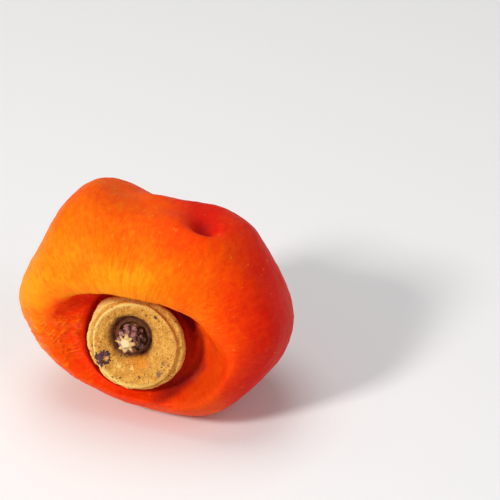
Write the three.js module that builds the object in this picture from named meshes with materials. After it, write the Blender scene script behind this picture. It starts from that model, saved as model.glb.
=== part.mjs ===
// A whole, peeled, half-dried persimmon lying on its side, with the trimmed calyx and the stub of its stalk
// towards -Y. Units are millimetres, +Z is up, and the fruit rests on z = 0.
//
// The fruit has a frame of its own, in which its shape is drawn: a runs to the right and b up as one looks
// at the calyx, and h comes out of the calyx towards the viewer. Its origin is the middle of the calyx's rim.

import * as THREE from "three";
import { LoftGeometry } from "three/addons/geometries/LoftGeometry.js";
import { ImprovedNoise } from "three/addons/math/ImprovedNoise.js";

// Where the calyx is, and which way it faces: a little to the left of -Y and a little up.
const CALYX_MIDDLE = new THREE.Vector3(-4.35, -13.75, 18.6);
const CALYX_TURN_DEG = 15.8;
const CALYX_TILT_DEG = 13.5;

// Ten stations go round the fruit anticlockwise from the right, and every hoop below has one point at each:
// right, right-up, up-right, up, top-left corner, left-up, left corner, lower left, bottom, lower right.

// The widest section of the fruit, which is a rounded, leaning square with the calyx low in it.
const GIRTH = [
  [28.3, 1.5, -13],
  [22, 17.5, -14],
  [12.5, 24.8, -14],
  [-2.6, 25.7, -12],
  [-14.3, 28.2, -11],
  [-21.3, 16.2, -9],
  [-25.2, 4, -9],
  [-16.5, -8.9, -12],
  [-1, -15.8, -16],
  [16.5, -13.6, -13],
];

// The ridge of the swollen shoulder, which stands furthest forward above the calyx.
const CREST = [
  [21, 0.5, 2.5],
  [15.5, 11, 3.5],
  [8.5, 14, 5.5],
  [0, 14.3, 7.5],
  [-8, 15, 7.5],
  [-16, 11.5, 6],
  [-20.5, 3.5, 2.5],
  [-13.2, -7.3, -0.5],
  [-1.5, -11.6, -1.3],
  [14, -10.5, 0.5],
];

// The edge of the mouth, where the shoulder turns back into the hollow round the calyx.
const LIP = [
  [18, -2, -1.6],
  [13.9, 5.9, 0.9],
  [8, 9.4, 3.1],
  [0, 11, 5.3],
  [-6, 11, 5.3],
  [-12.5, 9, 4.2],
  [-17.3, 1.9, 2],
  [-12, -6.4, -1.2],
  [-1, -11.4, -1.8],
  [12.2, -9, -1.6],
];

// The wall of the hollow behind the lip, which it undercuts above the calyx.
const HOLLOW = [
  [14.8, -1.4, -5.2],
  [12.8, 7.2, -5],
  [7.6, 11.2, -3],
  [0, 12, -0.8],
  [-6, 11.8, -0.2],
  [-11.8, 8.4, 0.6],
  [-13.8, 0.8, 0.5],
  [-11.2, -5.6, -1.6],
  [-1, -11.1, -2.3],
  [11.2, -7.7, -4.4],
];

// The fruit narrows from the girth to its far end: how far along, and what share of the girth is left.
const APEX = [3, 4, -36];
const TAPER = [
  { depth: -21, share: 0.93 },
  { depth: -28.5, share: 0.7 },
  { depth: -34, share: 0.36 },
];
const SHOULDER_OUT = 0.82;
const SHOULDER_FORWARD = 0.66;

// The foot of that wall beside the calyx, and the edge of the seat under it, [radius, depth] at each station:
// close up to its rim on the left and below, deep on the right.
const FOOT = [
  [11.4, -7],
  [11.2, -7.2],
  [11, -6.4],
  [11.4, -4.8],
  [11.9, -3.5],
  [11.2, -1.9],
  [10.6, -1],
  [10.65, -1.2],
  [10.6, -2.8],
  [11.2, -5.4],
];
const SEAT_EDGE = [
  [9.6, -5],
  [9.6, -5],
  [9.8, -4.8],
  [10.6, -4.5],
  [11.4, -4.3],
  [10.9, -4],
  [10.4, -3.8],
  [10.4, -3.8],
  [10.4, -4.1],
  [10.2, -4.8],
];
const SEAT = { radius: 5, depth: -5.3 };

// Slow, uneven lumps swell the fruit away from its heart, and fade out towards the calyx's axis.
const HEART = new THREE.Vector3(2, 6, -14);
const LUMPS = { size: 9, share: 0.012, seed: 7.3, noneWithin: 11, fullBeyond: 18 };

// Dents are pushed in along their own direction: a deep pit, the trough behind it, and two shallow valleys.
// The last one is pushed out, so it's a low swelling.
const DENTS = [
  { at: [11.1, 24.4, -6.6], radius: 2.5, push: [-0.2, -5.6, 0.6] },
  { at: [9, 25, -11], radius: 4.5, push: [0, -1.3, 0] },
  { at: [18.9, 17.8, -6], radius: 5.5, push: [-0.8, -0.8, -0.3] },
  { at: [-8, 27.3, -14], radius: 4, push: [0, -0.6, 0] },
  { at: [-0.5, 25.5, -14], radius: 4, push: [0, 0.9, 0] },
];

// The calyx is a stack of rings, [radius, height, right, up, wide], each about its own middle and wider than
// high by that share: the boss under it, the wide lower layer, the smaller upper layer, the dish, and the pit
// with a low collar round the stub.
const CALYX_SHIFT = new THREE.Vector3(-0.3, -0.5, 0);
const CALYX_RINGS = [
  [0, -4.8, 0.4, 0.1, 0],
  [3.6, -4.8, 0.4, 0.1, 0],
  [4.6, -4.3, 0.4, 0.1, 0],
  [5.6, -3.6, 0.4, 0.1, 0.01],
  [8.3, -3.3, 0.35, 0.1, 0.03],
  [9.4, -3, 0.35, 0.1, 0.03],
  [9.75, -2.5, 0.35, 0.1, 0.03],
  [9.85, -1.8, 0.35, 0.1, 0.03],
  [9.7, -1.2, 0.35, 0.1, 0.03],
  [9.3, -0.95, 0.35, 0.1, 0.03],
  [8.75, -0.95, 0.45, 0.1, 0],
  [8.6, -0.7, 0.45, 0.1, -0.01],
  [8.75, -0.35, 0.45, 0.1, -0.01],
  [8.65, -0.05, 0.45, 0.1, -0.01],
  [8.3, 0, 0.45, 0.1, -0.01],
  [7.9, -0.2, 0.4, 0.15, 0],
  [7.1, -0.4, 0.2, 0.4, 0],
  [6, -0.7, -0.1, 0.75, 0],
  [4.9, -1.15, -0.35, 1.1, 0],
  [4.3, -1.9, -0.5, 1.3, 0],
  [3.9, -2.6, -0.5, 1.3, 0],
  [3.6, -2.7, -0.5, 1.3, 0],
  [3.35, -2.3, -0.5, 1.3, 0],
  [3.05, -2.2, -0.5, 1.3, 0],
  [2.9, -2.6, -0.5, 1.3, 0],
  [2.9, -3.5, -0.5, 1.3, 0],
  [0, -3.5, -0.5, 1.3, 0],
];

// The rim isn't quite round, and each layer waves in its own way.
const CALYX_WAVES = [
  { count: 3, share: 0.007, turn: 2.1, twist: 0.9 },
  { count: 5, share: 0.005, turn: 0.9, twist: 1.7 },
  { count: 7, share: 0.005, turn: 0.4, twist: 1.4 },
];

// A nick in the rim at the lower left, and a leftover of one sepal behind the lower layer at the upper left.
const NICK = { turn: 3.85, width: 0.07, reach: -0.5, radiusFrom: 9, heightTo: 0 };
const REMNANT = { turn: 2.3, width: 0.34, reach: 1, radiusFrom: 9, heightTo: -2.4 };

// The stub of the stalk stands on its foot in the pit. The rings of its bark, and of the broken wood in its
// end, are [radius, height] above that foot.
const STUB_FOOT = new THREE.Vector3(-0.4, 1.3, -3.2);
const STUB_LEAN_DEG = 1.5;
const BARK_RINGS = [
  [0, 0],
  [2, 0],
  [2.25, 0.3],
  [2.3, 1],
  [2.55, 1.5],
  [2.6, 2.1],
  [2.35, 2.6],
  [2.4, 3.1],
  [2.4, 3.7],
  [2.05, 4.3],
  [1.9, 4.8],
  [1.6, 4.9],
  [1.3, 4.5],
  [0, 4.4],
];
const BARK_RIDGES = { count: 9, share: 0.08, twist: 0.3 };
const WOOD_RINGS = [
  [0, 4.75],
  [0.9, 4.75],
  [1.05, 5.1],
  [1.7, 5.2],
  [1.75, 5.5],
  [1.05, 5.5],
  [0.9, 5.7],
  [0, 5.8],
];
const WOOD_POINTS = { count: 8, share: 0.18, coreRadius: 1.2 };

const AROUND = 112;
const CALYX_AROUND = 72;
const STUB_AROUND = 72;
const STEPS_ALONG = [4, 4, 4, 4, 8, 6, 4, 4, 3, 2, 2, 2];

const COLOURS = { flesh: 0xf2600c, calyx: 0xc9933f, bark: 0x4a2a24, wood: 0xe0bd86 };

// A closed curve through one hoop's ten points, sampled once for every column of the surface.
function hoopPoints(stations) {
  const curve = new THREE.CatmullRomCurve3(
    stations.map((p) => new THREE.Vector3(...p)),
    true,
    "catmullrom",
    0.5,
  );
  return Array.from({ length: AROUND }, (_, i) => curve.getPoint(i / AROUND));
}

// A ring about the calyx's axis at the angles of the hoop outside it, from [radius, depth] at each station.
function ringInside(hoop, stations) {
  const ring = hoopPoints(stations.map(([radius, depth]) => [radius, 0, depth]));
  return hoop.map((p, i) => {
    const turn = Math.atan2(p.y, p.x);
    return new THREE.Vector3(ring[i].x * Math.cos(turn), ring[i].x * Math.sin(turn), ring[i].z);
  });
}

function fleshHoops() {
  const girth = hoopPoints(GIRTH);
  const crest = hoopPoints(CREST);
  const apex = new THREE.Vector3(...APEX);
  const tapered = TAPER.map(({ depth, share }) =>
    girth.map((p) => {
      const q = new THREE.Vector3().lerpVectors(apex, p, share);
      q.z = depth;
      return q;
    }),
  ).reverse();
  const shoulder = girth.map((p, i) => {
    const q = new THREE.Vector3().lerpVectors(crest[i], p, SHOULDER_OUT);
    q.z = THREE.MathUtils.lerp(p.z, crest[i].z, SHOULDER_FORWARD);
    return q;
  });
  const hollow = hoopPoints(HOLLOW);
  return [
    girth.map(() => apex.clone()),
    ...tapered,
    girth,
    shoulder,
    crest,
    hoopPoints(LIP),
    hollow,
    ringInside(hollow, FOOT),
    ringInside(hollow, SEAT_EDGE),
    ringInside(hollow, SEAT_EDGE.map(() => [SEAT.radius, SEAT.depth])),
    girth.map(() => new THREE.Vector3(0, 0, SEAT.depth)),
  ];
}

// Rows of points along the fruit: one smooth curve per column, through its point on every hoop. The curve
// runs on past both ends as its own mirror image, so that it crosses them square.
function skinRows(hoops) {
  const last = hoops.length - 1;
  const columns = hoops[0].map((_, i) => {
    const along = hoops.map((hoop) => hoop[i]);
    const before = along[0].clone().multiplyScalar(2).sub(along[1]);
    before.z = along[1].z;
    const after = along[last].clone().multiplyScalar(2).sub(along[last - 1]);
    after.z = along[last - 1].z;
    return new THREE.CatmullRomCurve3([before, ...along, after], false, "centripetal");
  });
  const rows = [];
  for (let k = 0; k <= last; k++) {
    const steps = k < last ? STEPS_ALONG[k] : 1;
    for (let s = 0; s < steps; s++) {
      rows.push(columns.map((curve) => curve.getPoint((k + 1 + s / steps) / (last + 2))));
    }
  }
  return rows;
}

const noise = new ImprovedNoise();

function swell(p) {
  const q = p.clone().divideScalar(LUMPS.size);
  const lump = noise.noise(q.x, q.y, q.z + LUMPS.seed);
  const reach = THREE.MathUtils.smoothstep(Math.hypot(p.x, p.y), LUMPS.noneWithin, LUMPS.fullBeyond);
  p.sub(HEART).multiplyScalar(1 + LUMPS.share * lump * reach).add(HEART);
}

function dent(p) {
  const pushes = DENTS.map(({ at, radius, push }) => {
    const share = Math.exp(-p.distanceToSquared(new THREE.Vector3(...at)) / radius ** 2);
    return new THREE.Vector3(...push).multiplyScalar(share);
  });
  pushes.forEach((push) => p.add(push));
}

// The turn from the fruit's own frame into the part's frame.
function calyxTurn() {
  const tilt = new THREE.Matrix4().makeRotationX(Math.PI / 2 - THREE.MathUtils.degToRad(CALYX_TILT_DEG));
  const turn = new THREE.Matrix4().makeRotationZ(-THREE.MathUtils.degToRad(CALYX_TURN_DEG));
  return turn.multiply(tilt);
}

function fleshGeometry() {
  const rows = skinRows(fleshHoops());
  const toPart = calyxTurn().setPosition(CALYX_MIDDLE);
  for (const p of rows.flat()) {
    swell(p);
    dent(p);
    p.applyMatrix4(toPart);
    p.z = Math.max(p.z, 0);
  }
  return new LoftGeometry(rows);
}

// A stack of rings about h. ringAt gives one ring's radius, middle and width at each turn from its table.
function turned(rings, around, ringAt) {
  const rows = rings.map((ring) =>
    Array.from({ length: around }, (_, i) => {
      const turn = (i / around) * 2 * Math.PI;
      const { radius, x = 0, y = 0, wide = 0 } = ringAt(turn, ...ring);
      const across = radius * (1 + wide) * Math.cos(turn);
      const along = radius * (1 - wide) * Math.sin(turn);
      return new THREE.Vector3(x + across, y + along, ring[1]);
    }),
  );
  return new LoftGeometry(rows);
}

function calyxGeometry() {
  return turned(CALYX_RINGS, CALYX_AROUND, (turn, radius, height, x, y, wide) => {
    const waves = CALYX_WAVES.reduce(
      (sum, wave) => sum + wave.share * Math.sin(wave.count * turn + wave.turn + wave.twist * height),
      0,
    );
    const edges = [NICK, REMNANT].filter((edge) => radius > edge.radiusFrom && height <= edge.heightTo);
    const reach = edges.reduce(
      (sum, edge) => sum + edge.reach * Math.exp(-(((turn - edge.turn) / edge.width) ** 2)),
      0,
    );
    return { radius: radius * (1 + waves) + reach, x, y, wide };
  });
}

function barkGeometry() {
  return turned(BARK_RINGS, STUB_AROUND, (turn, radius, height) => {
    const ridge = Math.cos(BARK_RIDGES.count * (turn + BARK_RIDGES.twist * height));
    return { radius: radius * (1 + BARK_RIDGES.share * ridge) };
  });
}

// Only the broken edge is drawn out into points: the core inside it is round.
function woodGeometry() {
  return turned(WOOD_RINGS, STUB_AROUND, (turn, radius) => {
    const share = radius > WOOD_POINTS.coreRadius ? WOOD_POINTS.share : 0;
    return { radius: radius * (1 + share * Math.cos(WOOD_POINTS.count * turn)) };
  });
}

function piece(name, geometry, color, roughness) {
  const mesh = new THREE.Mesh(
    geometry,
    new THREE.MeshStandardMaterial({ color, roughness, metalness: 0 }),
  );
  mesh.name = name;
  return mesh;
}

const crown = new THREE.Group();
crown.quaternion.setFromRotationMatrix(calyxTurn());
crown.position.copy(CALYX_SHIFT).applyQuaternion(crown.quaternion).add(CALYX_MIDDLE);
crown.add(piece("calyx", calyxGeometry(), COLOURS.calyx, 0.75));

const stub = new THREE.Group();
stub.position.copy(STUB_FOOT);
stub.quaternion.setFromAxisAngle(
  new THREE.Vector3(1, -1, 0).normalize(),
  THREE.MathUtils.degToRad(STUB_LEAN_DEG),
);
stub.add(piece("stem_bark", barkGeometry(), COLOURS.bark, 0.7));
stub.add(piece("stem_wood", woodGeometry(), COLOURS.wood, 0.8));
crown.add(stub);

const persimmon = new THREE.Group();
persimmon.add(piece("flesh", fleshGeometry(), COLOURS.flesh, 0.45));
persimmon.add(crown);

export default persimmon;
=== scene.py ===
"""A whole, peeled, half-dried persimmon on its side, dressed for a studio picture.

Shapes are drawn in the fruit's own frame, in millimetres: a runs to the right and b up as one looks at the
calyx, and h comes out of the calyx towards the viewer. Everything that leaves this script is in metres.
"""

from __future__ import annotations

import logging
import math
from dataclasses import dataclass, field
from enum import Enum

import bmesh
import bpy
from mathutils import Euler, Matrix, Vector, noise
from mathutils.bvhtree import BVHTree

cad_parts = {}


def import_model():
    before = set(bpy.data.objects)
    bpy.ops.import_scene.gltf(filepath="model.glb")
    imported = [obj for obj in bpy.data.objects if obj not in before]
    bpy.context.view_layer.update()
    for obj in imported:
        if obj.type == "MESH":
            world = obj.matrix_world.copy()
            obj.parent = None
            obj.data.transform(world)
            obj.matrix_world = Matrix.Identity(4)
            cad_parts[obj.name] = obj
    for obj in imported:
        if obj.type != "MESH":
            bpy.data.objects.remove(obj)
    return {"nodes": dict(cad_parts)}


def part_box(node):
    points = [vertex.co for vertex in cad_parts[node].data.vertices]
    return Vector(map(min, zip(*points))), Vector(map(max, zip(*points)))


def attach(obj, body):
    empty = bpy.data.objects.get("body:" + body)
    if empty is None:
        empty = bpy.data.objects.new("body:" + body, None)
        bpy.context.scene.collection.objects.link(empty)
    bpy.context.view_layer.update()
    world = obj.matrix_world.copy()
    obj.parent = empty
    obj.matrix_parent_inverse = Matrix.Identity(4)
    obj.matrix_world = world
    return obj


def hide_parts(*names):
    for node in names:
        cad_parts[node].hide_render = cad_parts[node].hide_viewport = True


log = logging.getLogger("persimmon")
MM = 0.001
Colour = tuple[float, float, float]
Point = tuple[float, float, float]


def smoothstep(low: float, high: float, value: float) -> float:
    """A smooth rise from 0 at low to 1 at high, or a fall where high is below low."""
    share = min(max((value - low) / (high - low), 0.0), 1.0)
    return share * share * (3 - 2 * share)


def bell(distance: float, width: float) -> float:
    """A smooth bump of height 1 that falls off with distance."""
    return math.exp(-((distance / width) ** 2))


def along_line(points: list[tuple[float, float]], x: float) -> float:
    """The height at x of the broken line through the points, level beyond its ends."""
    if x <= points[0][0]:
        return points[0][1]
    for (x0, y0), (x1, y1) in zip(points, points[1:]):
        if x <= x1:
            return y0 + (y1 - y0) * (x - x0) / (x1 - x0)
    return points[-1][1]


@dataclass(frozen=True)
class Slope:
    """A smooth change from nothing at start to amount at end, which may lie below start."""

    start: float
    end: float
    amount: float = 1.0

    def at(self, value: float) -> float:
        """How much of it there is at a value."""
        return self.amount * smoothstep(self.start, self.end, value)


@dataclass(frozen=True)
class Patch:
    """A soft round patch.

    Attributes:
        middle: where it is, to the right and up.
        width: how wide it is.
        amount: how much there is in its middle.
        stretch: how much wider than high it is.
    """

    middle: tuple[float, float]
    width: float
    amount: float
    stretch: float = 1.0

    def at(self, right: float, up: float) -> float:
        """How much of it there is at a place."""
        aside = (right - self.middle[0]) / self.stretch
        return self.amount * bell(math.hypot(aside, up - self.middle[1]), self.width)


@dataclass(frozen=True)
class Grain:
    """Noise in a finish.

    Attributes:
        size: how wide its lumps are, in millimetres.
        detail: how many finer layers it has.
        roughness: how strong those are.
        amount: how much it changes what it is added to.
    """

    size: float
    detail: float = 2.0
    roughness: float = 0.5
    amount: float = 0.0


@dataclass(frozen=True)
class Specks:
    """Round specks in a finish, about so far apart and so large, in millimetres."""

    spacing: float
    radius: float


class Slot(Enum):
    """The record's material slots."""

    FLESH = "flesh"
    CALYX = "calyx"
    BARK = "bark"
    WOOD = "wood"


@dataclass(frozen=True)
class FruitFrame:
    """The frame that the fruit is drawn in, at the middle of the calyx's rim.

    Attributes:
        middle: where that is, in millimetres of the part's frame.
        turn_deg: how far the calyx faces to the left of -Y.
        tilt_deg: how far it faces up.
    """

    middle: Vector = field(default_factory=lambda: Vector((-4.35, -13.75, 18.6)))
    turn_deg: float = 15.8
    tilt_deg: float = 13.5

    @property
    def rotation(self) -> Matrix:
        """The turn from the fruit's frame into the part's frame."""
        tilt = Matrix.Rotation(math.radians(90 - self.tilt_deg), 3, "X")
        return Matrix.Rotation(math.radians(-self.turn_deg), 3, "Z") @ tilt

    def local(self, point: Vector) -> Vector:
        """A point of the part, in metres, as a, b and h in millimetres."""
        return self.rotation.transposed() @ (point / MM - self.middle)

    def world(self, local: Vector) -> Vector:
        """A point given as a, b and h in millimetres, in metres of the part's frame."""
        return (self.rotation @ local + self.middle) * MM


FRUIT = FruitFrame()


@dataclass(frozen=True)
class Wire:
    """A socket whose value goes on through a finish. Sums and products of wires add the nodes they need."""

    sheet: "FinishSheet"
    socket: bpy.types.NodeSocket

    def _math(self, operation: str, left: "Wire | float", right: "Wire | float") -> "Wire":
        """The result of a Math node on two values."""
        return self.sheet.node("ShaderNodeMath", {"operation": operation}, {0: left, 1: right})

    def __add__(self, other: "Wire | float") -> "Wire":
        """self + other."""
        return self._math("ADD", self, other)

    def __radd__(self, other: float) -> "Wire":
        """other + self."""
        return self._math("ADD", other, self)

    def __sub__(self, other: "Wire | float") -> "Wire":
        """self - other."""
        return self._math("SUBTRACT", self, other)

    def __rsub__(self, other: float) -> "Wire":
        """other - self."""
        return self._math("SUBTRACT", other, self)

    def __mul__(self, other: "Wire | float") -> "Wire":
        """self * other."""
        return self._math("MULTIPLY", self, other)

    def __rmul__(self, other: float) -> "Wire":
        """other * self."""
        return self._math("MULTIPLY", other, self)

    def rise(self, low: float, high: float) -> "Wire":
        """0 below low, 1 above high and smooth between them. It falls where high is below low."""
        sockets = {"Value": self, "From Min": min(low, high), "From Max": max(low, high)}
        rising = self.sheet.node("ShaderNodeMapRange", {"interpolation_type": "SMOOTHSTEP"}, sockets)
        return rising if low < high else 1 - rising

    def within(self, radius: float, softness: float) -> "Wire":
        """1 below the radius and 0 above it, with a step so soft between them."""
        return self.rise(radius + softness, radius - softness)

    def shaken(self, amount: float, grain: "Wire") -> "Wire":
        """The value, more by up to half of amount where the grain is high and less where it is low."""
        return self + amount * (grain - 0.5)


class FinishSheet:
    """The node tree of one finish, with its Principled shader."""

    def __init__(self, name: str) -> None:
        """Starts an empty tree.

        Args:
            name: the material's name.
        """
        self.material = bpy.data.materials.new(name)
        self.material.use_nodes = True
        self.tree = self.material.node_tree
        self.tree.nodes.clear()
        self.shader = self.tree.nodes.new("ShaderNodeBsdfPrincipled")
        output = self.tree.nodes.new("ShaderNodeOutputMaterial")
        self.tree.links.new(self.shader.outputs["BSDF"], output.inputs["Surface"])

    def node(
        self,
        kind: str,
        settings: dict[str, object] | None = None,
        sockets: dict[str | int, object] | None = None,
        out: str | int = 0,
    ) -> Wire:
        """Adds one node.

        Args:
            kind: the node's type.
            settings: its properties, set first. "stops" gives a colour ramp's (place, colour) pairs.
            sockets: the value or the wire for each of its inputs.
            out: the output that goes on.

        Returns:
            A wire from that output.
        """
        made = self.tree.nodes.new(kind)
        for name, value in (settings or {}).items():
            if name == "stops":
                self._set_stops(made.color_ramp, value)
            else:
                setattr(made, name, value)
        for key, value in (sockets or {}).items():
            self._plug(made.inputs[key], value)
        return Wire(self, made.outputs[out])

    def _set_stops(self, ramp: bpy.types.ColorRamp, stops: list[tuple[float, Colour]]) -> None:
        """Gives a colour ramp its stops."""
        while len(ramp.elements) < len(stops):
            ramp.elements.new(1.0)
        for element, (place, colour) in zip(ramp.elements, stops):
            element.position = place
            element.color = (*colour, 1.0)

    def _plug(self, socket: bpy.types.NodeSocket, value: object) -> None:
        """Links a wire to a socket, or sets the socket's own value."""
        if isinstance(value, Wire):
            self.tree.links.new(value.socket, socket)
        else:
            socket.default_value = (*value, 1.0) if socket.type == "RGBA" and len(value) == 3 else value

    def set(self, **values: object) -> None:
        """Sets or links the shader's sockets. An underscore in a name stands for a space."""
        for name, value in values.items():
            self._plug(self.shader.inputs[name.replace("_", " ")], value)

    def fruit_coordinates(self) -> Wire:
        """Object coordinates as a, b and h in millimetres."""
        back = FRUIT.rotation.transposed()
        sockets = {
            "Vector": self.node("ShaderNodeTexCoord", out="Object"),
            "Location": -(back @ FRUIT.middle),
            "Rotation": Euler(back.to_euler()),
            "Scale": (1 / MM, 1 / MM, 1 / MM),
        }
        return self.node("ShaderNodeMapping", {"vector_type": "POINT"}, sockets)

    def attribute(self, name: str, out: str = "Fac") -> Wire:
        """What the mesh stores under a name at each of its points."""
        return self.node("ShaderNodeAttribute", {"attribute_name": name}, out=out)

    def grain(self, where: Wire, grain: Grain) -> Wire:
        """Noise between 0 and 1."""
        sockets = {
            "Vector": where,
            "Scale": 1 / grain.size,
            "Detail": grain.detail,
            "Roughness": grain.roughness,
        }
        return self.node("ShaderNodeTexNoise", {"noise_dimensions": "3D"}, sockets)

    def stretched(self, where: Wire, scale: tuple[float, float, float]) -> Wire:
        """Coordinates multiplied by a scale for each direction."""
        return self.node("ShaderNodeVectorMath", {"operation": "MULTIPLY"}, {0: where, 1: scale})

    def distance(self, where: Wire, point: Point) -> Wire:
        """How far each point is from a given one."""
        return self.node("ShaderNodeVectorMath", {"operation": "DISTANCE"}, {0: where, 1: point}, "Value")

    def specks(self, where: Wire, specks: Specks) -> Wire:
        """Round specks, 1 inside and 0 outside, at random places."""
        sockets = {"Vector": where, "Scale": 1 / specks.spacing, "Randomness": 1.0}
        away = self.node("ShaderNodeTexVoronoi", {"feature": "F1"}, sockets, "Distance")
        share = specks.radius / specks.spacing
        return away.within(1.05 * share, 0.35 * share)

    def mix(self, share: Wire | float, first: Wire | Colour, second: Wire | Colour) -> Wire:
        """The first colour, giving way to the second where share nears 1."""
        settings = {"data_type": "RGBA", "blend_type": "MIX", "clamp_factor": True}
        return self.node("ShaderNodeMix", settings, {0: share, 6: first, 7: second}, 2)

    def ramp(self, value: Wire, stops: list[tuple[float, Colour]]) -> Wire:
        """A colour for each value between 0 and 1."""
        return self.node("ShaderNodeValToRGB", {"stops": stops}, {"Fac": value})

    def bump(self, height: Wire, depth: float, under: Wire | None = None) -> Wire:
        """A normal that rises and falls with height, by depth millimetres in all."""
        sockets = {"Height": height, "Strength": 1.0, "Distance": depth * MM}
        if under is not None:
            sockets["Normal"] = under
        return self.node("ShaderNodeBump", None, sockets)


@dataclass(frozen=True)
class FleshFinish:
    """Peeled, half-dried flesh: yellow-orange where it is driest, red where it is moist; it also carries
    painted light, yellower where light falls and redder in shade, and painted maroon shade in its hollows.

    Attributes:
        stops: the colours from the moistest and most shaded flesh to the driest and most brightly lit.
        maroon_and_shade: the colour at the bottom of the deepest hollows, a maroon painted as shade there
            and as the shadow beside the calyx, partly also the darker moist flesh.
    """

    stops: tuple[tuple[float, Colour], ...] = (
        (0.0, (0.72, 0.010, 0.002)),
        (0.3, (0.88, 0.040, 0.001)),
        (0.55, (0.93, 0.090, 0.001)),
        (0.8, (0.95, 0.185, 0.002)),
        (1.0, (0.96, 0.30, 0.005)),
    )
    maroon_and_shade: Colour = (0.15, 0.004, 0.009)
    pale_fleck: Colour = (1.0, 0.42, 0.06)
    dark_fleck: Colour = (0.20, 0.015, 0.010)
    dark_fleck_at: Point = (-12.0, 15.5, 5.6)
    # Pale threads above the lip, partly painted highlight of the fine drying wrinkles there.
    threads_at: Point = (-1.5, 13.0, 6.5)
    # How far the threads reach from there, and how softly they end.
    threads_reach: float = 7.0
    threads_softness: float = 3.0
    clouds: Grain = Grain(7.0, 3.0, amount=0.35)
    mottle: Grain = Grain(1.3, 4.0, 0.7, 0.42)
    streaks: Grain = Grain(0.55, 2.0, 0.6, 0.30)
    threads: Grain = Grain(0.6, 1.0, 0.5, 0.55)
    pores: Grain = Grain(0.4, 2.0, 0.6)
    # How fast each of them changes along the grain, as a share of how fast it changes across it.
    streak_run: float = 0.3
    thread_run: float = 0.1
    fleck_run: float = 0.5
    pits: Specks = Specks(0.9, 0.13)
    flecks: Specks = Specks(1.1, 0.1)
    skin_depth: float = 0.22
    pore_depth: float = 0.08

    def material(self) -> bpy.types.Material:
        """Builds the finish.

        Returns:
            The material, which reads the attributes dryness, deep, moist and grain.
        """
        sheet = FinishSheet("peeled_flesh")
        where = sheet.fruit_coordinates()
        grain = sheet.attribute("grain", "Vector")
        maroon_and_shade = sheet.attribute("maroon_and_shade")
        moist = sheet.attribute("moist")
        clouds = sheet.grain(where, self.clouds)
        mottle = sheet.grain(where, self.mottle)
        streaks = sheet.grain(sheet.stretched(grain, (1.0, 1.0, self.streak_run)), self.streaks)
        threads = sheet.grain(sheet.stretched(grain, (1.0, 1.0, self.thread_run)), self.threads)
        # Pale threads above the lip, partly painted highlight.
        above_lip = sheet.distance(where, self.threads_at).within(self.threads_reach, self.threads_softness)
        # This value carries the flesh's tone and also painted light and shade: yellower where light falls,
        # redder in shade.
        dryness_and_light = sheet.attribute("dryness_and_light") + self.threads.amount * above_lip * (threads - 0.5)
        dryness_and_light = dryness_and_light.shaken(self.clouds.amount, clouds)
        dryness_and_light = dryness_and_light.shaken(self.mottle.amount, mottle)
        dryness_and_light = dryness_and_light.shaken(self.streaks.amount, streaks)
        colour = sheet.ramp(dryness_and_light, list(self.stops))
        pits = sheet.specks(where, self.pits) * mottle.rise(0.6, 0.45)
        colour = sheet.mix(0.3 * pits * (1 - moist), colour, self.dark_fleck)
        along_grain = sheet.stretched(grain, (1.0, 1.0, self.fleck_run))
        flecks = sheet.specks(along_grain, self.flecks) * mottle.rise(0.4, 0.6)
        colour = sheet.mix(0.45 * flecks * (1 - 0.5 * moist), colour, self.pale_fleck)
        seed_mark = sheet.distance(where, self.dark_fleck_at).within(0.325, 0.125)
        colour = sheet.mix(0.8 * seed_mark, colour, self.dark_fleck)
        # Painted shade, partly also the darker moist flesh: maroon in the hollows, the dent and the shadow
        # beside the calyx.
        colour = sheet.mix(maroon_and_shade, colour, self.maroon_and_shade)
        skin = sheet.bump(0.5 * mottle + 0.5 * streaks, self.skin_depth)
        pores = sheet.bump(sheet.grain(where, self.pores), self.pore_depth, skin)
        sheet.set(
            Base_Color=colour,
            Roughness=0.4 + 0.2 * (mottle - moist),
            Coat_Weight=0.45 * moist * streaks.rise(0.5, 0.7),
            Normal=pores,
        )
        sheet.set(
            Coat_Roughness=0.14,
            Specular_IOR_Level=0.1,
            Specular_Tint=(1.0, 0.7, 0.45, 1.0),
            Subsurface_Weight=0.2,
            Subsurface_Radius=(1.0, 0.25, 0.05),
            Subsurface_Scale=1.0 * MM,
            IOR=1.4,
        )
        return sheet.material


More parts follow.
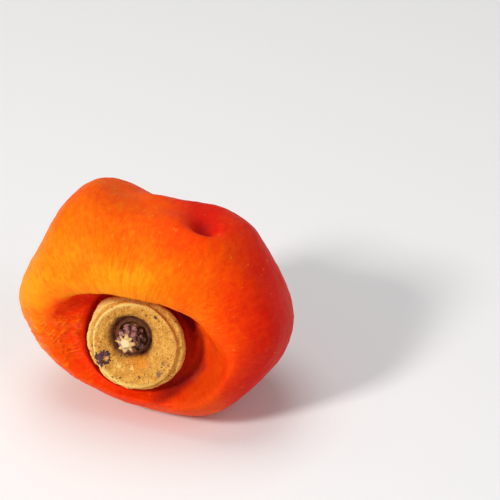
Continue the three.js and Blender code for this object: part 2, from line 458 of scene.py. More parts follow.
@dataclass(frozen=True)
class CalyxFinish:
    """Dry, cork-like calyx: tan, with a paler rim that also carries a painted highlight on its lit left,
    dark specks, painted shade in its creases and round the pit, and a few dark blotches.
    """

    tan: Colour = (0.60, 0.24, 0.026)
    pale: Colour = (0.88, 0.48, 0.095)
    # Painted shade: brown in the creases and round the pit, and a dark ring at the pit's edge.
    brown: Colour = (0.17, 0.045, 0.012)
    ring: Colour = (0.14, 0.026, 0.014)
    ring_dark: Colour = (0.055, 0.010, 0.014)
    collar: Colour = (0.24, 0.085, 0.028)
    orange: Colour = (0.86, 0.26, 0.005)
    stain: Colour = (0.045, 0.010, 0.016)
    speck: Colour = (0.10, 0.030, 0.018)
    # The pale colour of the rims and flecks; on the rims it also carries a painted highlight.
    edge: Colour = (0.95, 0.70, 0.20)
    purple: Colour = (0.11, 0.040, 0.085)
    stain_at: Point = (-6.2, -4.1, -0.4)
    hole_at: Point = (-5.6, -4.0, -0.5)
    # The faint stains and the dots are given as (a, b, h, radius).
    faint_stains_at: tuple[tuple[float, float, float, float], ...] = (
        (5.6, -5.5, -0.3, 0.8),
        (6.2, -3.2, -0.4, 0.35),
        (7.4, -3.4, -0.2, 0.3),
        (3.6, -4.5, -0.6, 0.25),
    )
    dots_at: tuple[tuple[float, float, float, float], ...] = (
        (4.2, 6.0, -0.3, 0.42),
        (2.2, 5.9, -0.6, 0.26),
        (-8.5, -1.9, -0.9, 0.28),
        (-2.3, -7.5, -0.3, 0.2),
        (1.45, -6.85, -0.4, 0.2),
    )
    pale_flecks_at: tuple[Point, ...] = ((-2.9, -5.2, -0.7), (-0.3, -5.4, -0.8))
    tinge_at: Point = (0.9, -3.9, -1.2)
    cork: Grain = Grain(1.1, 4.0, 0.65)
    fine: Grain = Grain(0.3, 3.0, 0.7)
    blots: Grain = Grain(0.8, 3.0, 0.6)
    small_freckles: Specks = Specks(0.46, 0.085)
    large_freckles: Specks = Specks(1.1, 0.17)
    relief_depth: float = 0.5
    stain_radius: float = 1.65
    hole_radius: float = 0.45
    fleck_radius: float = 0.4

    def material(self) -> bpy.types.Material:
        """Builds the finish.

        Returns:
            The material, which reads the attributes crease, collar, pit and rim.
        """
        sheet = FinishSheet("corky_calyx")
        where = sheet.fruit_coordinates()
        crease = sheet.attribute("crease")
        pit = sheet.attribute("pit")
        rim = sheet.attribute("rim")
        cork = sheet.grain(where, self.cork)
        fine = sheet.grain(where, self.fine)
        blot = sheet.grain(where, self.blots)
        pale = (1.5 * cork - 0.25).shaken(1.6, fine).rise(0.15, 0.9)
        colour = sheet.mix(pale, self.tan, self.pale)
        tinge = sheet.distance(where, self.tinge_at).within(2.1, 1.3) * cork.rise(0.3, 0.6)
        colour = sheet.mix(0.85 * tinge, colour, self.orange)
        # Painted shade: brown where the calyx is walled in and round the pit.
        colour = sheet.mix(0.95 * crease.shaken(0.3, fine).rise(0.2, 0.7), colour, self.brown)
        # Painted shade: a dark ring at the pit's edge.
        ring_shade = sheet.mix(blot.rise(0.4, 0.62), self.ring, self.ring_dark)
        ring = pit.shaken(0.9, blot).shaken(0.4, fine).rise(0.2, 1.1)
        colour = sheet.mix(0.9 * ring, colour, ring_shade)
        collar = sheet.attribute("collar").shaken(0.8, fine).rise(0.3, 0.8)
        lining = sheet.mix(fine.rise(0.35, 0.65), self.ring_dark, self.collar)
        colour = sheet.mix(0.85 * collar, colour, lining)
        # The pale rim with its painted highlight, palest on the lit left.
        colour = sheet.mix(rim * (0.6 + 0.8 * fine), colour, self.edge)
        freckles = sheet.specks(where, self.small_freckles) + sheet.specks(where, self.large_freckles)
        colour = sheet.mix(0.9 * freckles * fine.rise(0.35, 0.5), colour, self.speck)
        away = sheet.distance(where, self.stain_at).shaken(3.0, blot).shaken(1.6, fine)
        hole = sheet.distance(where, self.hole_at).shaken(1.4, blot).shaken(0.8, fine)
        ragged = away.within(self.stain_radius, 0.15) * (1 - hole.within(self.hole_radius, 0.15))
        colour = sheet.mix(0.95 * ragged, colour, sheet.mix(blot.rise(0.48, 0.6), self.stain, self.purple))
        for *place, size in self.faint_stains_at:
            smear = sheet.distance(where, place).shaken(2.4, blot).within(size, 0.25)
            colour = sheet.mix(0.8 * smear * fine.rise(0.4, 0.52), colour, self.purple)
        for *place, size in self.dots_at:
            dot = sheet.distance(where, place).shaken(0.8, fine).within(size, 0.1)
            colour = sheet.mix(0.9 * dot, colour, self.stain)
        for place in self.pale_flecks_at:
            fleck = sheet.distance(where, place).shaken(2.0, fine).within(self.fleck_radius, 0.1)
            colour = sheet.mix(0.7 * fleck, colour, self.edge)
        relief = sheet.bump(0.55 * cork + 0.45 * fine, self.relief_depth)
        sheet.set(Base_Color=colour, Roughness=0.64 + 0.2 * fine, Normal=relief)
        sheet.set(
            Specular_IOR_Level=0.25,
            Subsurface_Weight=0.1,
            Subsurface_Radius=(1.0, 0.6, 0.3),
            Subsurface_Scale=0.8 * MM,
        )
        return sheet.material


@dataclass(frozen=True)
class BarkFinish:
    """Dark, wrinkled, purple-brown bark with dust on its ridges, with painted light towards the upper left,
    painted shade away from it and in its creases.
    """

    dark: Colour = (0.018, 0.003, 0.004)
    body: Colour = (0.125, 0.032, 0.028)
    # Dust on the ridges, also standing for painted highlights.
    dust_and_highlight: Colour = (0.46, 0.23, 0.21)
    lit_side_at: Point = (-2.4, 3.0, 1.0)
    # How far from there the painted light begins to give way to painted shade, and where the shade is full.
    lit_side_reach: tuple[float, float] = (2.4, 5.4)
    fibres: Grain = Grain(0.35, 4.0, 0.65)
    fibre_depth: float = 0.12

    def material(self) -> bpy.types.Material:
        """Builds the finish.

        Returns:
            The material, which reads the attribute crease.
        """
        sheet = FinishSheet("stalk_bark")
        where = sheet.fruit_coordinates()
        crease = sheet.attribute("crease")
        fibres = sheet.grain(where, self.fibres)
        # Painted light and shade: paler ridges towards the lit upper left, darker away from it and in the
        # creases.
        shaded_side = sheet.distance(where, self.lit_side_at).rise(*self.lit_side_reach)
        height = 1.4 * fibres + 0.3 - 1.8 * crease - 0.3 * shaded_side
        colour = sheet.ramp(height, [(0.25, self.dark), (0.6, self.body), (1.0, self.dust_and_highlight)])
        relief = sheet.bump(fibres, self.fibre_depth)
        sheet.set(Base_Color=colour, Roughness=0.55 + 0.3 * fibres, Normal=relief)
        return sheet.material


@dataclass(frozen=True)
class WoodFinish:
    """Pale, broken wood with a thin dark ring round its core."""

    pale: Colour = (0.74, 0.48, 0.17)
    core: Colour = (0.86, 0.68, 0.36)
    ring: Colour = (0.10, 0.04, 0.02)
    tip: Colour = (0.40, 0.17, 0.05)
    core_radius: float = 0.85
    ring_radius: float = 0.98
    ring_width: float = 0.20
    ring_softness: float = 0.07
    tip_radius: float = 1.8
    fine: Grain = Grain(0.25, 3.0, 0.6)
    patches: Grain = Grain(1.1, 1.0)
    relief_depth: float = 0.12

    def material(self, middle: Vector) -> bpy.types.Material:
        """Builds the finish.

        Args:
            middle: the middle of the star of wood, in the fruit's frame.

        Returns:
            The material, which reads the attribute groove.
        """
        sheet = FinishSheet("broken_wood")
        where = sheet.fruit_coordinates()
        flat = sheet.stretched(where, (1.0, 1.0, 0.0))
        away = sheet.distance(flat, (middle.x, middle.y, 0.0))
        fine = sheet.grain(where, self.fine)
        wobble = away.shaken(0.5, fine)
        outside = wobble.within(self.ring_radius + self.ring_width / 2, self.ring_softness)
        inside = wobble.within(self.ring_radius - self.ring_width / 2, self.ring_softness)
        ring = outside * (1 - inside)
        colour = sheet.mix(wobble.within(self.core_radius, 0.25), self.pale, self.core)
        colour = sheet.mix(wobble.within(self.tip_radius, 0.3), self.tip, colour)
        colour = sheet.mix(0.85 * sheet.attribute("groove"), colour, self.tip)
        patchy = sheet.grain(where, self.patches).rise(0.42, 0.52)
        colour = sheet.mix(0.8 * ring * patchy, colour, self.ring)
        sheet.set(Base_Color=colour, Roughness=0.7, Normal=sheet.bump(fine, self.relief_depth))
        return sheet.material


def refined(node: bpy.types.Object, name: str, levels: int) -> bpy.types.Object:
    """A finer, quad-faced copy of a CAD node.

    Args:
        node: the CAD node.
        name: the new piece's name.
        levels: how many times its faces are split in four.

    Returns:
        The new piece, smooth-shaded, with its modifier applied.
    """
    mesh = bmesh.new()
    mesh.from_mesh(node.data)
    bmesh.ops.remove_doubles(mesh, verts=mesh.verts, dist=0.002 * MM)
    bmesh.ops.join_triangles(
        mesh,
        faces=mesh.faces,
        angle_face_threshold=math.radians(50),
        angle_shape_threshold=math.radians(60),
    )
    coarse = bpy.data.meshes.new(name + "_coarse")
    mesh.to_mesh(coarse)
    mesh.free()
    piece = bpy.data.objects.new(name, coarse)
    bpy.context.scene.collection.objects.link(piece)
    if levels:
        smoother = piece.modifiers.new("Finer", "SUBSURF")
        smoother.levels = levels
        smoother.render_levels = levels
        bpy.context.view_layer.update()
        shown = piece.evaluated_get(bpy.context.evaluated_depsgraph_get())
        piece.data = bpy.data.meshes.new_from_object(shown)
        piece.modifiers.clear()
    piece.data.name = name
    piece.data.shade_smooth()
    return piece


def hollowness(mesh: bpy.types.Mesh, reach: float, rays: int = 28) -> list[float]:
    """How much of the space above each point is walled in.

    Args:
        mesh: the mesh, whose own walls count.
        reach: how far away a wall still counts, in millimetres.
        rays: how many directions are tried at each point.

    Returns:
        A share for each vertex, from 0 in the open to 1 where it is closed in all round.
    """
    tree = BVHTree.FromPolygons([v.co for v in mesh.vertices], [p.vertices for p in mesh.polygons])
    golden = math.pi * (3 - math.sqrt(5))
    fan = []
    for i in range(rays):
        rise = 1 - (i + 0.5) / rays
        out = math.sqrt(1 - rise * rise)
        fan.append(Vector((out * math.cos(golden * i), out * math.sin(golden * i), rise)))
    shares = []
    for vertex in mesh.vertices:
        turn = vertex.normal.to_track_quat("Z", "Y")
        start = vertex.co + vertex.normal * 0.05 * MM
        closed = 0.0
        for ray in fan:
            hit = tree.ray_cast(start, turn @ ray, reach * MM)
            if hit[0] is not None:
                closed += ray.z
        shares.append(closed / sum(ray.z for ray in fan))
    return shares


def store(mesh: bpy.types.Mesh, name: str, values: list[float] | list[Vector]) -> None:
    """Stores a number or a vector for each vertex under a name."""
    if isinstance(values[0], float):
        mesh.attributes.new(name, "FLOAT", "POINT").data.foreach_set("value", values)
    else:
        flat = [number for vector in values for number in vector]
        mesh.attributes.new(name, "FLOAT_VECTOR", "POINT").data.foreach_set("vector", flat)


@dataclass(frozen=True)
class Crease:
    """A short fold in the flesh, from one point to another as one looks at the calyx.

    Attributes:
        start: where it starts, as (a, b).
        end: where it ends.
        depth: how far it is pressed in, in millimetres, and less than 0 for a ridge.
        width: how wide it is.
        dry: how much drier, and so paler, the flesh is along it.
    """

    start: tuple[float, float]
    end: tuple[float, float]
    depth: float
    width: float
    dry: float = 0.0

    def share_at(self, a: float, b: float) -> float:
        """How much of the fold is left at a place, from 0 to 1."""
        start, end = Vector(self.start), Vector(self.end)
        run = end - start
        share = (Vector((a, b)) - start).dot(run) / run.length_squared
        nearest = start + run * min(max(share, 0.0), 1.0)
        return bell((Vector((a, b)) - nearest).length, self.width)


@dataclass
class Flesh:
    """The fruit itself."""

    levels: int = 2
    # How far away a wall still darkens the flesh.
    wall_reach: float = 9.0
    # The edge of the mouth above the calyx, as (a, b), from its left end to its right end.
    lip: tuple[tuple[float, float], ...] = (
        (-24.0, 2.5),
        (-17.6, 4.5),
        (-14.7, 7.9),
        (-9.8, 9.7),
        (-4.8, 10.9),
        (0.0, 10.6),
        (8.0, 9.3),
        (14.0, 6.0),
        (17.2, 0.0),
        (18.6, -8.0),
    )
    creases: tuple[Crease, ...] = (
        Crease((13.0, 3.4), (15.6, 1.8), 0.5, 0.4),
        Crease((13.4, 2.2), (15.8, 0.6), 0.5, 0.4),
        Crease((13.2, 0.9), (15.0, -0.5), 0.4, 0.4),
        Crease((13.2, 2.8), (15.7, 1.2), -0.2, 0.35, 0.25),
        Crease((2.0, -13.4), (4.6, -12.6), 0.25, 0.5),
        Crease((6.5, -13.0), (9.4, -11.6), 0.25, 0.5),
        Crease((4.2, -14.2), (7.0, -13.6), 0.2, 0.4),
    )
    # How far the painted shadow of the calyx and the lip on the floor of the hollow reaches from the
    # calyx's middle to the right, as (b, distance).
    dark_edge: tuple[tuple[float, float], ...] = (
        (-9.0, 13.2),
        (-4.5, 14.3),
        (-2.3, 13.2),
        (0.7, 11.8),
        (2.5, 11.6),
    )
    # How high the lumps, dimples and wrinkles stand, and how wide the first two are.
    lumps: float = 0.22
    dimples: float = 0.10
    wrinkles: float = 0.38
    lump_size: float = 6.5
    dimple_size: float = 2.2
    # The wrinkles run along this line. Their lumps are so long, so wide and of such depth, and come in
    # groups.
    wrinkle_run: tuple[float, float] = (0.9, 0.43)
    wrinkle_size: tuple[float, float, float] = (2.0, 0.65, 2.5)
    wrinkle_groups: Slope = Slope(-0.45, 0.15)
    clear_of_calyx: Slope = Slope(10.8, 12.0)
    # How soft the edge of the mouth is, and how much softer it grows at its left end.
    lip_softness: float = 0.5
    lip_fades: Slope = Slope(-11.0, -19.0, 3.0)
    mouth_ends: Slope = Slope(20.0, 15.5)
    mouth_front: Slope = Slope(-9.0, -4.0)
    damp: float = 0.08
    wet_patch: Patch = Patch((-13.0, -1.0), 8.0, 0.92, 1.3)
    # The direction that is up in the photograph, in the part's frame.
    seen_up: Vector = field(default_factory=lambda: Vector((0.0, 0.5, 0.866)))
    highest: float = 28.0
    outside_dryness: float = 0.76
    # Painted shade: outside the mouth the flesh is painted redder towards the shaded right side and in the
    # dent; it is also redder lower down.
    redder_to_right: float = 0.010
    red_end: Slope = Slope(12.0, 27.0, -0.52)
    red_below: Slope = Slope(2.0, -6.0, -0.20)
    red_dent: float = 0.45
    # Above this height the flesh grows redder, and below it a little drier, for each millimetre.
    driest_height: float = 12.0
    redder_above: float = 0.015
    drier_below: float = 0.005
    # Patches of painted light, yellower on the lit brow above the mouth and on the upper right, and one of
    # painted shade, redder by the dent.
    light_and_shade_patches: tuple[Patch, ...] = (
        Patch((0.0, 12.0), 8.0, 0.12),
        Patch((1.5, 13.0), 3.5, 0.10, 1.6),
        Patch((11.0, 20.0), 4.0, -0.2),
        Patch((20.5, 18.0), 6.0, 0.16),
    )
    inside_dryness: float = 0.28
    # In the mouth the flesh is paler away from the calyx, partly painted shade near it, and redder under
    # the lip, painted shade; it is yellower at the lit left edge, painted light.
    paler_outwards: Slope = Slope(11.0, 17.0, 0.20)
    shade_under_lip: Slope = Slope(2.5, 5.5, -0.2)
    lit_left_edge: Slope = Slope(16.0, 21.0, 0.25)
    left_side: Slope = Slope(2.0, -6.0)
    # Painted highlight: the tops of the wet wrinkles are painted paler.
    wrinkle_highlight: float = 0.32
    # Painted shade and shadow: how dark the shadowed floor at the right of the calyx is, how dim the wall
    # below it, where on the right it lies, patches on the lower right front, the right end and the dent.
    dark_floor: float = 0.65
    dark_edge_softness: float = 0.8
    dim_wall: Slope = Slope(17.0, 15.0, 0.22)
    dim_wall_top: Slope = Slope(-4.0, 0.0)
    dark_side: Slope = Slope(2.0, 7.0)
    dark_patches: tuple[Patch, ...] = (
        Patch((16.5, -5.5), 5.5, 0.24),
        Patch((12.0, -10.5), 4.0, 0.2),
    )
    dark_front: Slope = Slope(-9.0, -5.0)
    dark_right_end: Slope = Slope(19.0, 27.0, 0.15)
    dark_right_top: Slope = Slope(10.0, 0.0)
    dark_dent: float = 0.5
    dark_dent_width: float = 2.4
    # Painted shade: how much a walled-in place darkens, and how much less of that there is on the lit left.
    closed_in: Slope = Slope(0.32, 0.9)
    lit_left: Slope = Slope(2.0, -7.0, 0.75)
    # What one sees of the dent in the top right is its far wall. A shallow valley runs down into it.
    dent: Vector = field(default_factory=lambda: Vector((10.4, 22.6, -8.7)))
    valley_top: Vector = field(default_factory=lambda: Vector((7.5, 24.8, -17.0)))
    dent_reach: float = 4.0
    # The grain turns about this point on the calyx's axis, and is so wide for each radian.
    grain_middle: float = -14.0
    grain_turns: float = 22.0
    # Folds reach this far back from the calyx's rim, so that the far side of the fruit has none.
    folds_behind: float = -9.0

    def below_lip(self, local: Vector) -> float:
        """How surely a point lies below the edge of the mouth, from 0 to 1."""
        edge = along_line(list(self.lip), local.x)
        softness = self.lip_softness + self.lip_fades.at(local.x)
        inside = smoothstep(-softness, softness, edge - local.y)
        return inside * self.mouth_ends.at(local.x) * self.mouth_front.at(local.z)

    def moistness(self, local: Vector) -> float:
        """How wet the flesh is: most of all at the left of the mouth."""
        return min(1.0, self.below_lip(local) * (self.damp + self.wet_patch.at(local.x, local.y)))

    def near_dent(self, local: Vector) -> float:
        """How near a place is to the dent and to the valley above it, from 0 to 1."""
        run = self.valley_top - self.dent
        share = min(max((local - self.dent).dot(run) / run.length_squared, 0.0), 1.0)
        return bell((local - self.dent - run * share).length, self.dent_reach)

    def wrinkle(self, local: Vector) -> float:
        """How much of a wavy wrinkle of the wet flesh there is at a place, from 0 to 1."""
        run_a, run_b = self.wrinkle_run
        along = run_a * local.x + run_b * local.y
        across = run_a * local.y - run_b * local.x + 0.5 * noise.noise(local / 1.8)
        length, width, depth = self.wrinkle_size
        place = Vector((along / length, across / width, local.z / depth))
        coarse = max(1 - 5 * abs(noise.noise(place)), 0.0)
        fine = max(0.7 - 4 * abs(noise.noise(place * 1.8)), 0.0)
        group = self.wrinkle_groups.at(noise.noise(local / 2.4 + Vector((5.0, 0.0, 0.0))))
        wet = self.moistness(local) * self.clear_of_calyx.at(math.hypot(local.x, local.y))
        return min(coarse + fine, 1.0) * group * wet

    def fold_share(self, local: Vector, part: str) -> float:
        """The sum of one part of the creases, their depth or their dryness, at a place."""
        if local.z < self.folds_behind:
            return 0.0
        return sum(getattr(crease, part) * crease.share_at(local.x, local.y) for crease in self.creases)

    def dryness_and_light(self, point: Vector, local: Vector) -> float:
        """How far the flesh has dried, with painted light and shade added, from 0, red, to 1,
        yellow-orange.

        Args:
            point: the place in millimetres of the part's frame.
            local: the same place in the fruit's frame.

        Returns:
            That value before noise is added to it.
        """
        right = point.x - FRUIT.middle.x
        rise = min(max(self.seen_up.dot(point - FRUIT.middle), 0.0), self.highest)
        below = self.driest_height - rise
        # Painted light and shade outside the mouth: redder to the shaded right and in the dent, yellower in
        # the lit patches.
        outside = self.outside_dryness - self.redder_to_right * right + self.red_end.at(right)
        outside += (self.drier_below if below > 0 else self.redder_above) * below
        outside += sum(patch.at(right, rise) for patch in self.light_and_shade_patches)
        outside += self.red_below.at(point.z - FRUIT.middle.z) - self.red_dent * self.near_dent(local)
        away = math.hypot(local.x, local.y)
        # Painted shade under the lip and near the calyx, and painted light at the lit left edge of the
        # mouth.
        inside = self.inside_dryness + self.paler_outwards.at(away) + self.shade_under_lip.at(local.y)
        inside += self.lit_left_edge.at(away) * self.left_side.at(local.x)
        # Painted highlight on the wrinkles' tops.
        inside += self.wrinkle_highlight * self.wrinkle(local)
        in_mouth = self.below_lip(local)
        return outside * (1 - in_mouth) + inside * in_mouth + self.fold_share(local, "dry")

    def maroon_and_shade_share(self, local: Vector, hollow: float) -> float:
        """How far the flesh is painted maroon at a place, from 0 to 1: painted shade and shadow, partly
        also the darker moist flesh.

        Args:
            local: the place in the fruit's frame.
            hollow: how much it is walled in.

        Returns:
            The share, highest in the painted shadow at the right of the calyx and in the painted shade of
            the dent.
        """
        away = math.hypot(local.x, local.y)
        # Painted shadow of the calyx and the lip on the floor and the wall of the hollow at the right of
        # the calyx.
        edge = along_line(list(self.dark_edge), local.y)
        soft = self.dark_edge_softness
        right = self.dark_floor * smoothstep(edge + soft, edge - soft, away)
        right += self.dim_wall.at(away) * self.dim_wall_top.at(local.y) * (1 - right)
        right *= self.dark_side.at(local.x) * self.below_lip(local)
        right *= smoothstep(self.folds_behind, self.folds_behind + 0.5, local.z)
        # Painted shade on the lower right front and at the right end.
        patches = sum(patch.at(local.x, local.y) for patch in self.dark_patches)
        right += patches * self.dark_front.at(local.z)
        right += self.dark_right_end.at(local.x) * self.dark_right_top.at(local.y)
        # Painted shade in the dent, and in walled-in places except on the lit left.
        dent = self.dark_dent * bell((local - self.dent).length, self.dark_dent_width)
        closed = self.closed_in.at(hollow) * (1 - self.lit_left.at(local.x))
        return min(1.0, closed + right + dent)

    def relief(self, local: Vector, hollow: float) -> float:
        """How far the surface stands proud of the CAD solid at a place, in millimetres.

        Args:
            local: the place in the fruit's frame.
            hollow: how much it is walled in.

        Returns:
            The height, less than 0 where the surface is pressed in.
        """
        height = self.lumps * noise.noise(local / self.lump_size + Vector((3.1, 0.0, 0.0)))
        height += self.dimples * noise.fractal(local / self.dimple_size, 0.8, 2.1, 3)
        height += self.wrinkles * self.wrinkle(local)
        height *= 1 - 0.6 * smoothstep(0.5, 0.9, hollow)
        return height - self.fold_share(local, "depth")

    def shape(self, node: bpy.types.Object) -> bpy.types.Object:
        """Builds the finer skin round the CAD solid.

        Args:
            node: the CAD solid of the flesh.

        Returns:
            The piece, with the attributes that its finish reads.
        """
        piece = refined(node, "flesh_skin", self.levels)
        mesh = piece.data
        hollow = hollowness(mesh, self.wall_reach)
        local = [FRUIT.local(v.co) for v in mesh.vertices]
        normals = [v.normal.copy() for v in mesh.vertices]
        for vertex, place, normal, closed in zip(mesh.vertices, local, normals, hollow):
            held = smoothstep(0.0, 2.0, vertex.co.z / MM)
            vertex.co += normal * self.relief(place, closed) * held * MM
            vertex.co.z = max(vertex.co.z, 0.0)
        mesh.update()
        # The maroon share is painted shade; the dryness also carries painted light and shade.
        store(mesh, "maroon_and_shade", [self.maroon_and_shade_share(place, closed) for place, closed in zip(local, hollow)])
        store(mesh, "moist", [self.moistness(place) for place in local])
        store(mesh, "dryness_and_light", [self.dryness_and_light(v.co / MM, place) for v, place in zip(mesh.vertices, local)])
        store(mesh, "grain", [self.grain_at(place) for place in local])
        return piece

    def grain_at(self, local: Vector) -> Vector:
        """Coordinates for the grain, which runs from the calyx round to the far end."""
        spoke = math.hypot(local.x, local.y) or 1.0
        along = self.grain_turns * math.atan2(spoke, local.z - self.grain_middle)
        return Vector((self.grain_turns * local.x / spoke, self.grain_turns * local.y / spoke, along))

    def build(self, node: bpy.types.Object) -> bpy.types.Object:
        """Builds and dresses the flesh.

        Args:
            node: the CAD solid of the flesh.

        Returns:
            The piece.
        """
        piece = self.shape(node)
        piece.data.materials.append(FleshFinish().material())
        return placed(piece, "flesh")


@dataclass
class Calyx:
    """The round disc that is left of the calyx, in two layers."""

    levels: int = 2
    upper: Vector = field(default_factory=lambda: Vector((0.15, -0.4, 0.0)))
    lower: Vector = field(default_factory=lambda: Vector((0.05, -0.4, 0.0)))
    pit: Vector = field(default_factory=lambda: Vector((-0.85, 0.8, 0.0)))
    upper_edge: float = 8.4
    lower_edge: float = 9.5
    ring_radius: float = 3.75
    collar_radius: float = 3.2
    collar_width: float = 0.35
    # How high the cork, the grit and the faint rings stand, and how deep the edge's furrows are.
    cork: float = 0.12
    grit: float = 0.05
    growth_rings: float = 0.03
    furrows: float = 0.16
    # How wide the lumps of the cork and of the grit are.
    cork_size: float = 1.3
    grit_size: float = 0.35
    # Where the faint rings are, by height and away from the middle, and where the furrows are.
    rings_above: Slope = Slope(-1.6, -1.0)
    rings_beyond: Slope = Slope(4.5, 6.5)
    furrows_beyond: Slope = Slope(8.7, 9.0)
    # Painted shade: brown round the pit, and a dark ring at its edge that is wider on the shaded left.
    pit_shade: float = 0.55
    pit_shade_width: float = 4.8
    ring_width: float = 0.35
    ring_wider_left: Slope = Slope(0.5, -0.8, 0.8)
    rim_width: float = 0.35
    upper_layer: Slope = Slope(-1.0, -0.4)
    lower_layer: Slope = Slope(-2.6, -1.8)
    lower_rim: Slope = Slope(-0.6, 0.3)
    # The pale rim also carries a painted highlight, so it is weakest on the shaded right and palest on the
    # lit left.
    rim_at_right: float = 0.15
    rim_left: Slope = Slope(0.75, -0.5, 0.85)
    crease_reach: float = 2.5

    def relief(self, local: Vector) -> float:
        """How far the dry surface stands proud at a place, in millimetres."""
        away = (local - self.upper).xy.length
        height = self.cork * noise.fractal(local / self.cork_size, 0.7, 2.2, 3)
        height += self.grit * noise.noise(local / self.grit_size)
        rings = math.sin(away * 6.0 + 1.5 * noise.noise(local / 3.0))
        height += self.growth_rings * rings * self.rings_above.at(local.z) * self.rings_beyond.at(away)
        ledge = self.furrows_beyond.at(away)
        furrow = abs(noise.noise(Vector((local.x * 0.35, local.y * 0.35, away * 2.2 + local.z * 2.6))))
        return height - self.furrows * ledge * max(1 - 6 * furrow, 0.0)

    def build(self, node: bpy.types.Object) -> bpy.types.Object:
        """Builds and dresses the calyx.

        Args:
            node: the CAD solid of the calyx.

        Returns:
            The piece.
        """
        piece = refined(node, "calyx_cork", self.levels)
        mesh = piece.data
        local = [FRUIT.local(v.co) for v in mesh.vertices]
        creases = hollowness(mesh, self.crease_reach, 20)
        for vertex, place, normal in zip(mesh.vertices, local, [v.normal.copy() for v in mesh.vertices]):
            vertex.co += normal * self.relief(place) * MM
        mesh.update()
        # Painted shade: brown where the calyx is walled in and round the pit.
        around = [(place - self.pit).xy.length for place in local]
        shade = [self.pit_shade * bell(away, self.pit_shade_width) for away in around]
        store(mesh, "crease", [min(1.0, crease + dim) for crease, dim in zip(creases, shade)])
        store(mesh, "pit", [self.pitness(place) for place in local])
        store(mesh, "collar", [bell(away - self.collar_radius, self.collar_width) for away in around])
        store(mesh, "rim", [self.rimness(place) for place in local])
        mesh.materials.append(CalyxFinish().material())
        return placed(piece, "calyx")

    def pitness(self, local: Vector) -> float:
        """How near a place is to the ring of painted shade round the pit, which is widest on the shaded
        left, from 0 to 1.
        """
        out = (local - self.pit).xy
        past = out.length - self.ring_radius
        wider = 0.0 if past < 0 else self.ring_wider_left.at(out.normalized().x)
        return bell(past, self.ring_width + wider)

    def rimness(self, local: Vector) -> float:
        """How near a place is to the pale edge of a layer, with its painted highlight that is palest on the
        lit left, from 0 to 1.
        """
        upper = bell((local - self.upper).xy.length - self.upper_edge, self.rim_width)
        upper *= self.upper_layer.at(local.z)
        lower = self.lower_rim.at((local - self.lower).xy.length - self.lower_edge)
        lower *= self.lower_layer.at(local.z)
        left = self.rim_left.at((local - self.upper).xy.normalized().x)
        return min(1.0, upper + lower) * (self.rim_at_right + left)


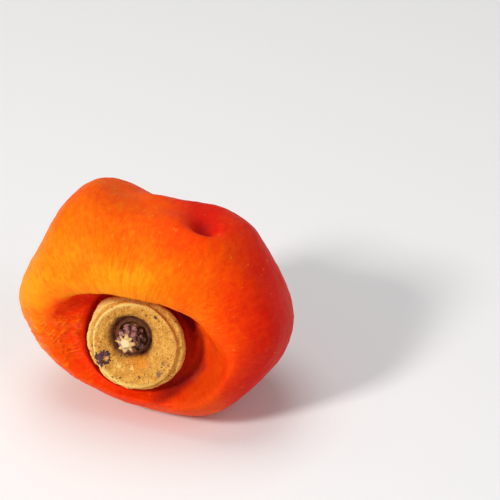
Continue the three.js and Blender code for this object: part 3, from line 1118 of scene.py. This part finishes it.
@dataclass
class Stub:
    """The stub of the stalk: a ring of bark knobs round a broken star of wood."""

    foot: Vector = field(default_factory=lambda: Vector((-0.7, 0.8, -3.2)))
    # Each ring of knobs, as (how many, radius, height above the foot, size of one).
    knob_rings: tuple[tuple[int, float, float, float], ...] = (
        (9, 2.15, 1.7, 0.66),
        (8, 2.0, 3.0, 0.62),
        (8, 1.7, 4.2, 0.55),
    )
    # How much the bark between the knobs is drawn in, as a share of its radius.
    slimmer: float = 0.12
    # How unevenly the knobs stand round the ring, in radians, and out from it and in size, as shares.
    uneven_turn: float = 0.25
    uneven_radius: float = 0.12
    uneven_size: float = 0.3
    crumpled: float = 0.2
    crumple_size: float = 0.6
    crease_reach: float = 1.2
    voxel: float = 0.09
    wood_points: int = 8
    # How much longer or shorter than the rest one of those points can be.
    ragged: float = 0.7
    sharper: float = 0.28
    # Where the points begin, away from the middle, and where the grooves between them are.
    points_beyond: Slope = Slope(1.0, 1.4)
    between_points: Slope = Slope(0.0, -0.9)
    wood_grain: float = 0.1
    groove_depth: float = 0.05

    def knobs(self, piece: bpy.types.Object) -> None:
        """Adds the rings of knobs to the bark, and melts them into it.

        Args:
            piece: the bark.
        """
        mesh = bmesh.new()
        mesh.from_mesh(piece.data)
        for vertex in mesh.verts:
            place = FRUIT.local(vertex.co)
            inwards = (self.foot - place) * self.slimmer
            vertex.co = FRUIT.world(place + Vector((inwards.x, inwards.y, 0.0)))
        for ring, (count, radius, height, size) in enumerate(self.knob_rings):
            for i in range(count):
                seed = Vector((ring * 3.7, i * 1.9, 0.5))
                turn = 2 * math.pi * (i + 0.5 * (ring % 2)) / count + self.uneven_turn * noise.noise(seed)
                out = radius * (1 + self.uneven_radius * noise.noise(seed + Vector((9.0, 0.0, 0.0))))
                middle = self.foot + Vector((out * math.cos(turn), out * math.sin(turn), height))
                grow = size * (1 + self.uneven_size * noise.noise(seed + Vector((0.0, 9.0, 0.0))))
                place = Matrix.Translation(FRUIT.world(middle)) @ Matrix.Diagonal((grow * MM,) * 3).to_4x4()
                bmesh.ops.create_icosphere(mesh, subdivisions=2, radius=1.0, matrix=place)
        mesh.to_mesh(piece.data)
        mesh.free()
        melt = piece.modifiers.new("Melt", "REMESH")
        melt.mode = "VOXEL"
        melt.voxel_size = self.voxel * MM
        bpy.context.view_layer.update()
        shown = piece.evaluated_get(bpy.context.evaluated_depsgraph_get())
        piece.data = bpy.data.meshes.new_from_object(shown)
        piece.modifiers.clear()

    def bark(self, node: bpy.types.Object) -> bpy.types.Object:
        """Builds and dresses the bark.

        Args:
            node: the CAD solid of the bark.

        Returns:
            The piece.
        """
        piece = refined(node, "stalk_bark", 0)
        self.knobs(piece)
        mesh = piece.data
        normals = [v.normal.copy() for v in mesh.vertices]
        for vertex, normal in zip(mesh.vertices, normals):
            place = FRUIT.local(vertex.co)
            crumple = noise.fractal(place / self.crumple_size, 0.6, 2.1, 4)
            vertex.co += normal * self.crumpled * crumple * MM
        mesh.update()
        mesh.shade_smooth()
        # Painted shade: how walled-in each point is darkens the creases between the knobs.
        store(mesh, "crease", hollowness(mesh, self.crease_reach, 16))
        mesh.materials.append(BarkFinish().material())
        return placed(piece, "stem_bark")

    def wood(self, node: bpy.types.Object) -> bpy.types.Object:
        """Builds and dresses the broken wood.

        Args:
            node: the CAD solid of the wood.

        Returns:
            The piece.
        """
        piece = refined(node, "stalk_wood", 1)
        mesh = piece.data
        low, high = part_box("stem_wood")
        middle = FRUIT.local((low + high) / 2)
        grooves = []
        for vertex, normal in zip(mesh.vertices, [v.normal.copy() for v in mesh.vertices]):
            place = FRUIT.local(vertex.co)
            out = (place - middle).xy
            turn = math.atan2(out.y, out.x) + 0.25 * noise.noise(place / 0.8)
            ragged = self.points_beyond.at(out.length)
            groove = ragged * self.between_points.at(math.cos(self.wood_points * turn))
            point = max(math.cos(self.wood_points * turn), 0.0) ** 4
            spread = self.ragged * noise.noise(Vector((1.6 * turn, 0.5, 0.5)))
            longer = ragged * (spread + self.sharper * (point - 0.3))
            grain = self.wood_grain * noise.fractal(place / 0.5, 0.7, 2.0, 3)
            vertex.co += normal * (grain - self.groove_depth * groove) * MM
            vertex.co += FRUIT.rotation @ Vector((out.x, out.y, 0.0)).normalized() * longer * MM
            grooves.append(groove)
        mesh.update()
        store(mesh, "groove", grooves)
        mesh.materials.append(WoodFinish().material(middle))
        return placed(piece, "stem_wood")


def placed(piece: bpy.types.Object, node: str) -> bpy.types.Object:
    """Lets a piece stand for a CAD node: hangs it under the root and hides the node."""
    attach(piece, "root")
    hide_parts(node)
    log.info("%s: %d faces, for %s", piece.name, len(piece.data.polygons), node)
    return piece


@dataclass(frozen=True)
class Lamp:
    """A soft square light that faces the fruit.

    Attributes:
        name: the light's name.
        place: where it hangs, in metres.
        size: how wide it is, in metres.
        power: its strength in watts.
        colour: the colour of its light.
    """

    name: str
    place: Point
    size: float
    power: float
    colour: Colour = (1.0, 1.0, 1.0)


@dataclass(frozen=True)
class Studio:
    """The floor, the lights and the camera.

    Attributes:
        raised_deg: how far the camera looks down.
        distance: from the camera to the calyx, along its line of sight, in millimetres.
        scale: pixels to a millimetre at the calyx.
        seen_at: the pixel that sees the middle of the calyx, in a picture of 500 by 500.
        floor_size: how far the floor reaches from the middle, in metres.
        room_light: how strongly the white room lights the fruit from all round.
    """

    raised_deg: float = 30.0
    distance: float = 450.0
    scale: float = 5.13
    seen_at: tuple[float, float] = (133.0, 344.0)
    frame_size: float = 500.0
    sensor: float = 36.0
    floor_size: float = 3.0
    floor_colour: Colour = (0.86, 0.86, 0.86)
    room_light: float = 0.24
    lamps: tuple[Lamp, ...] = (
        Lamp("key", (-0.56, -0.50, 0.52), 0.16, 5.8, (1.0, 0.98, 0.95)),
        Lamp("fill", (0.55, -0.45, 0.50), 0.60, 1.5),
        Lamp("overhead", (-0.10, 0.15, 0.85), 0.60, 2.9),
    )

    def camera(self) -> bpy.types.Object:
        """Sets up the camera at the photograph's angle.

        Returns:
            The camera, which is the scene's.
        """
        raised = math.radians(self.raised_deg)
        forwards = Vector((0.0, math.cos(raised), -math.sin(raised)))
        upwards = Vector((0.0, math.sin(raised), math.cos(raised)))
        across = (self.frame_size / 2 - self.seen_at[0]) / self.scale
        above = (self.seen_at[1] - self.frame_size / 2) / self.scale
        aim = FRUIT.middle + Vector((across, 0.0, 0.0)) + upwards * above
        lens = bpy.data.cameras.new("camera")
        lens.sensor_width = self.sensor
        lens.lens = self.sensor * self.scale * self.distance / self.frame_size
        lens.clip_start = 0.01
        camera = bpy.data.objects.new("camera", lens)
        camera.location = (aim - forwards * self.distance) * MM
        camera.rotation_euler = (math.radians(90 - self.raised_deg), 0.0, 0.0)
        bpy.context.scene.collection.objects.link(camera)
        bpy.context.scene.camera = camera
        return camera

    def floor(self) -> bpy.types.Object:
        """Lays a plain pale floor under the fruit.

        Returns:
            The floor.
        """
        mesh = bmesh.new()
        bmesh.ops.create_grid(mesh, x_segments=2, y_segments=2, size=self.floor_size)
        sheet = bpy.data.meshes.new("floor")
        mesh.to_mesh(sheet)
        mesh.free()
        floor = bpy.data.objects.new("floor", sheet)
        bpy.context.scene.collection.objects.link(floor)
        finish = FinishSheet("pale_floor")
        finish.set(Base_Color=self.floor_colour, Roughness=0.9)
        sheet.materials.append(finish.material)
        return floor

    def hang(self, lamp: Lamp) -> bpy.types.Object:
        """Hangs one lamp and turns it to the fruit.

        Args:
            lamp: the lamp.

        Returns:
            The light.
        """
        bulb = bpy.data.lights.new(lamp.name, "AREA")
        bulb.size = lamp.size
        bulb.energy = lamp.power
        bulb.color = lamp.colour
        light = bpy.data.objects.new(lamp.name, bulb)
        light.location = lamp.place
        aim = FRUIT.middle * MM - Vector(lamp.place)
        light.rotation_euler = aim.to_track_quat("-Z", "Y").to_euler()
        bpy.context.scene.collection.objects.link(light)
        return light

    def build(self) -> None:
        """Sets up the floor, the lights, the surroundings and the camera."""
        self.floor()
        self.camera()
        for lamp in self.lamps:
            self.hang(lamp)
        world = bpy.data.worlds.new("white_room")
        world.use_nodes = True
        background = world.node_tree.nodes["Background"]
        background.inputs["Color"].default_value = (1.0, 1.0, 1.0, 1.0)
        background.inputs["Strength"].default_value = self.room_light
        bpy.context.scene.world = world
        bpy.context.scene.view_settings.view_transform = "Standard"


def main() -> None:
    """Loads the frame, builds every piece in order and sets up the studio."""
    logging.basicConfig(level=logging.INFO, format="%(name)s: %(message)s")
    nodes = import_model()["nodes"]
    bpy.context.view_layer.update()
    Flesh().build(nodes["flesh"])
    Calyx().build(nodes["calyx"])
    stub = Stub()
    stub.bark(nodes["stem_bark"])
    stub.wood(nodes["stem_wood"])
    Studio().build()


if __name__ == "__main__":
    main()
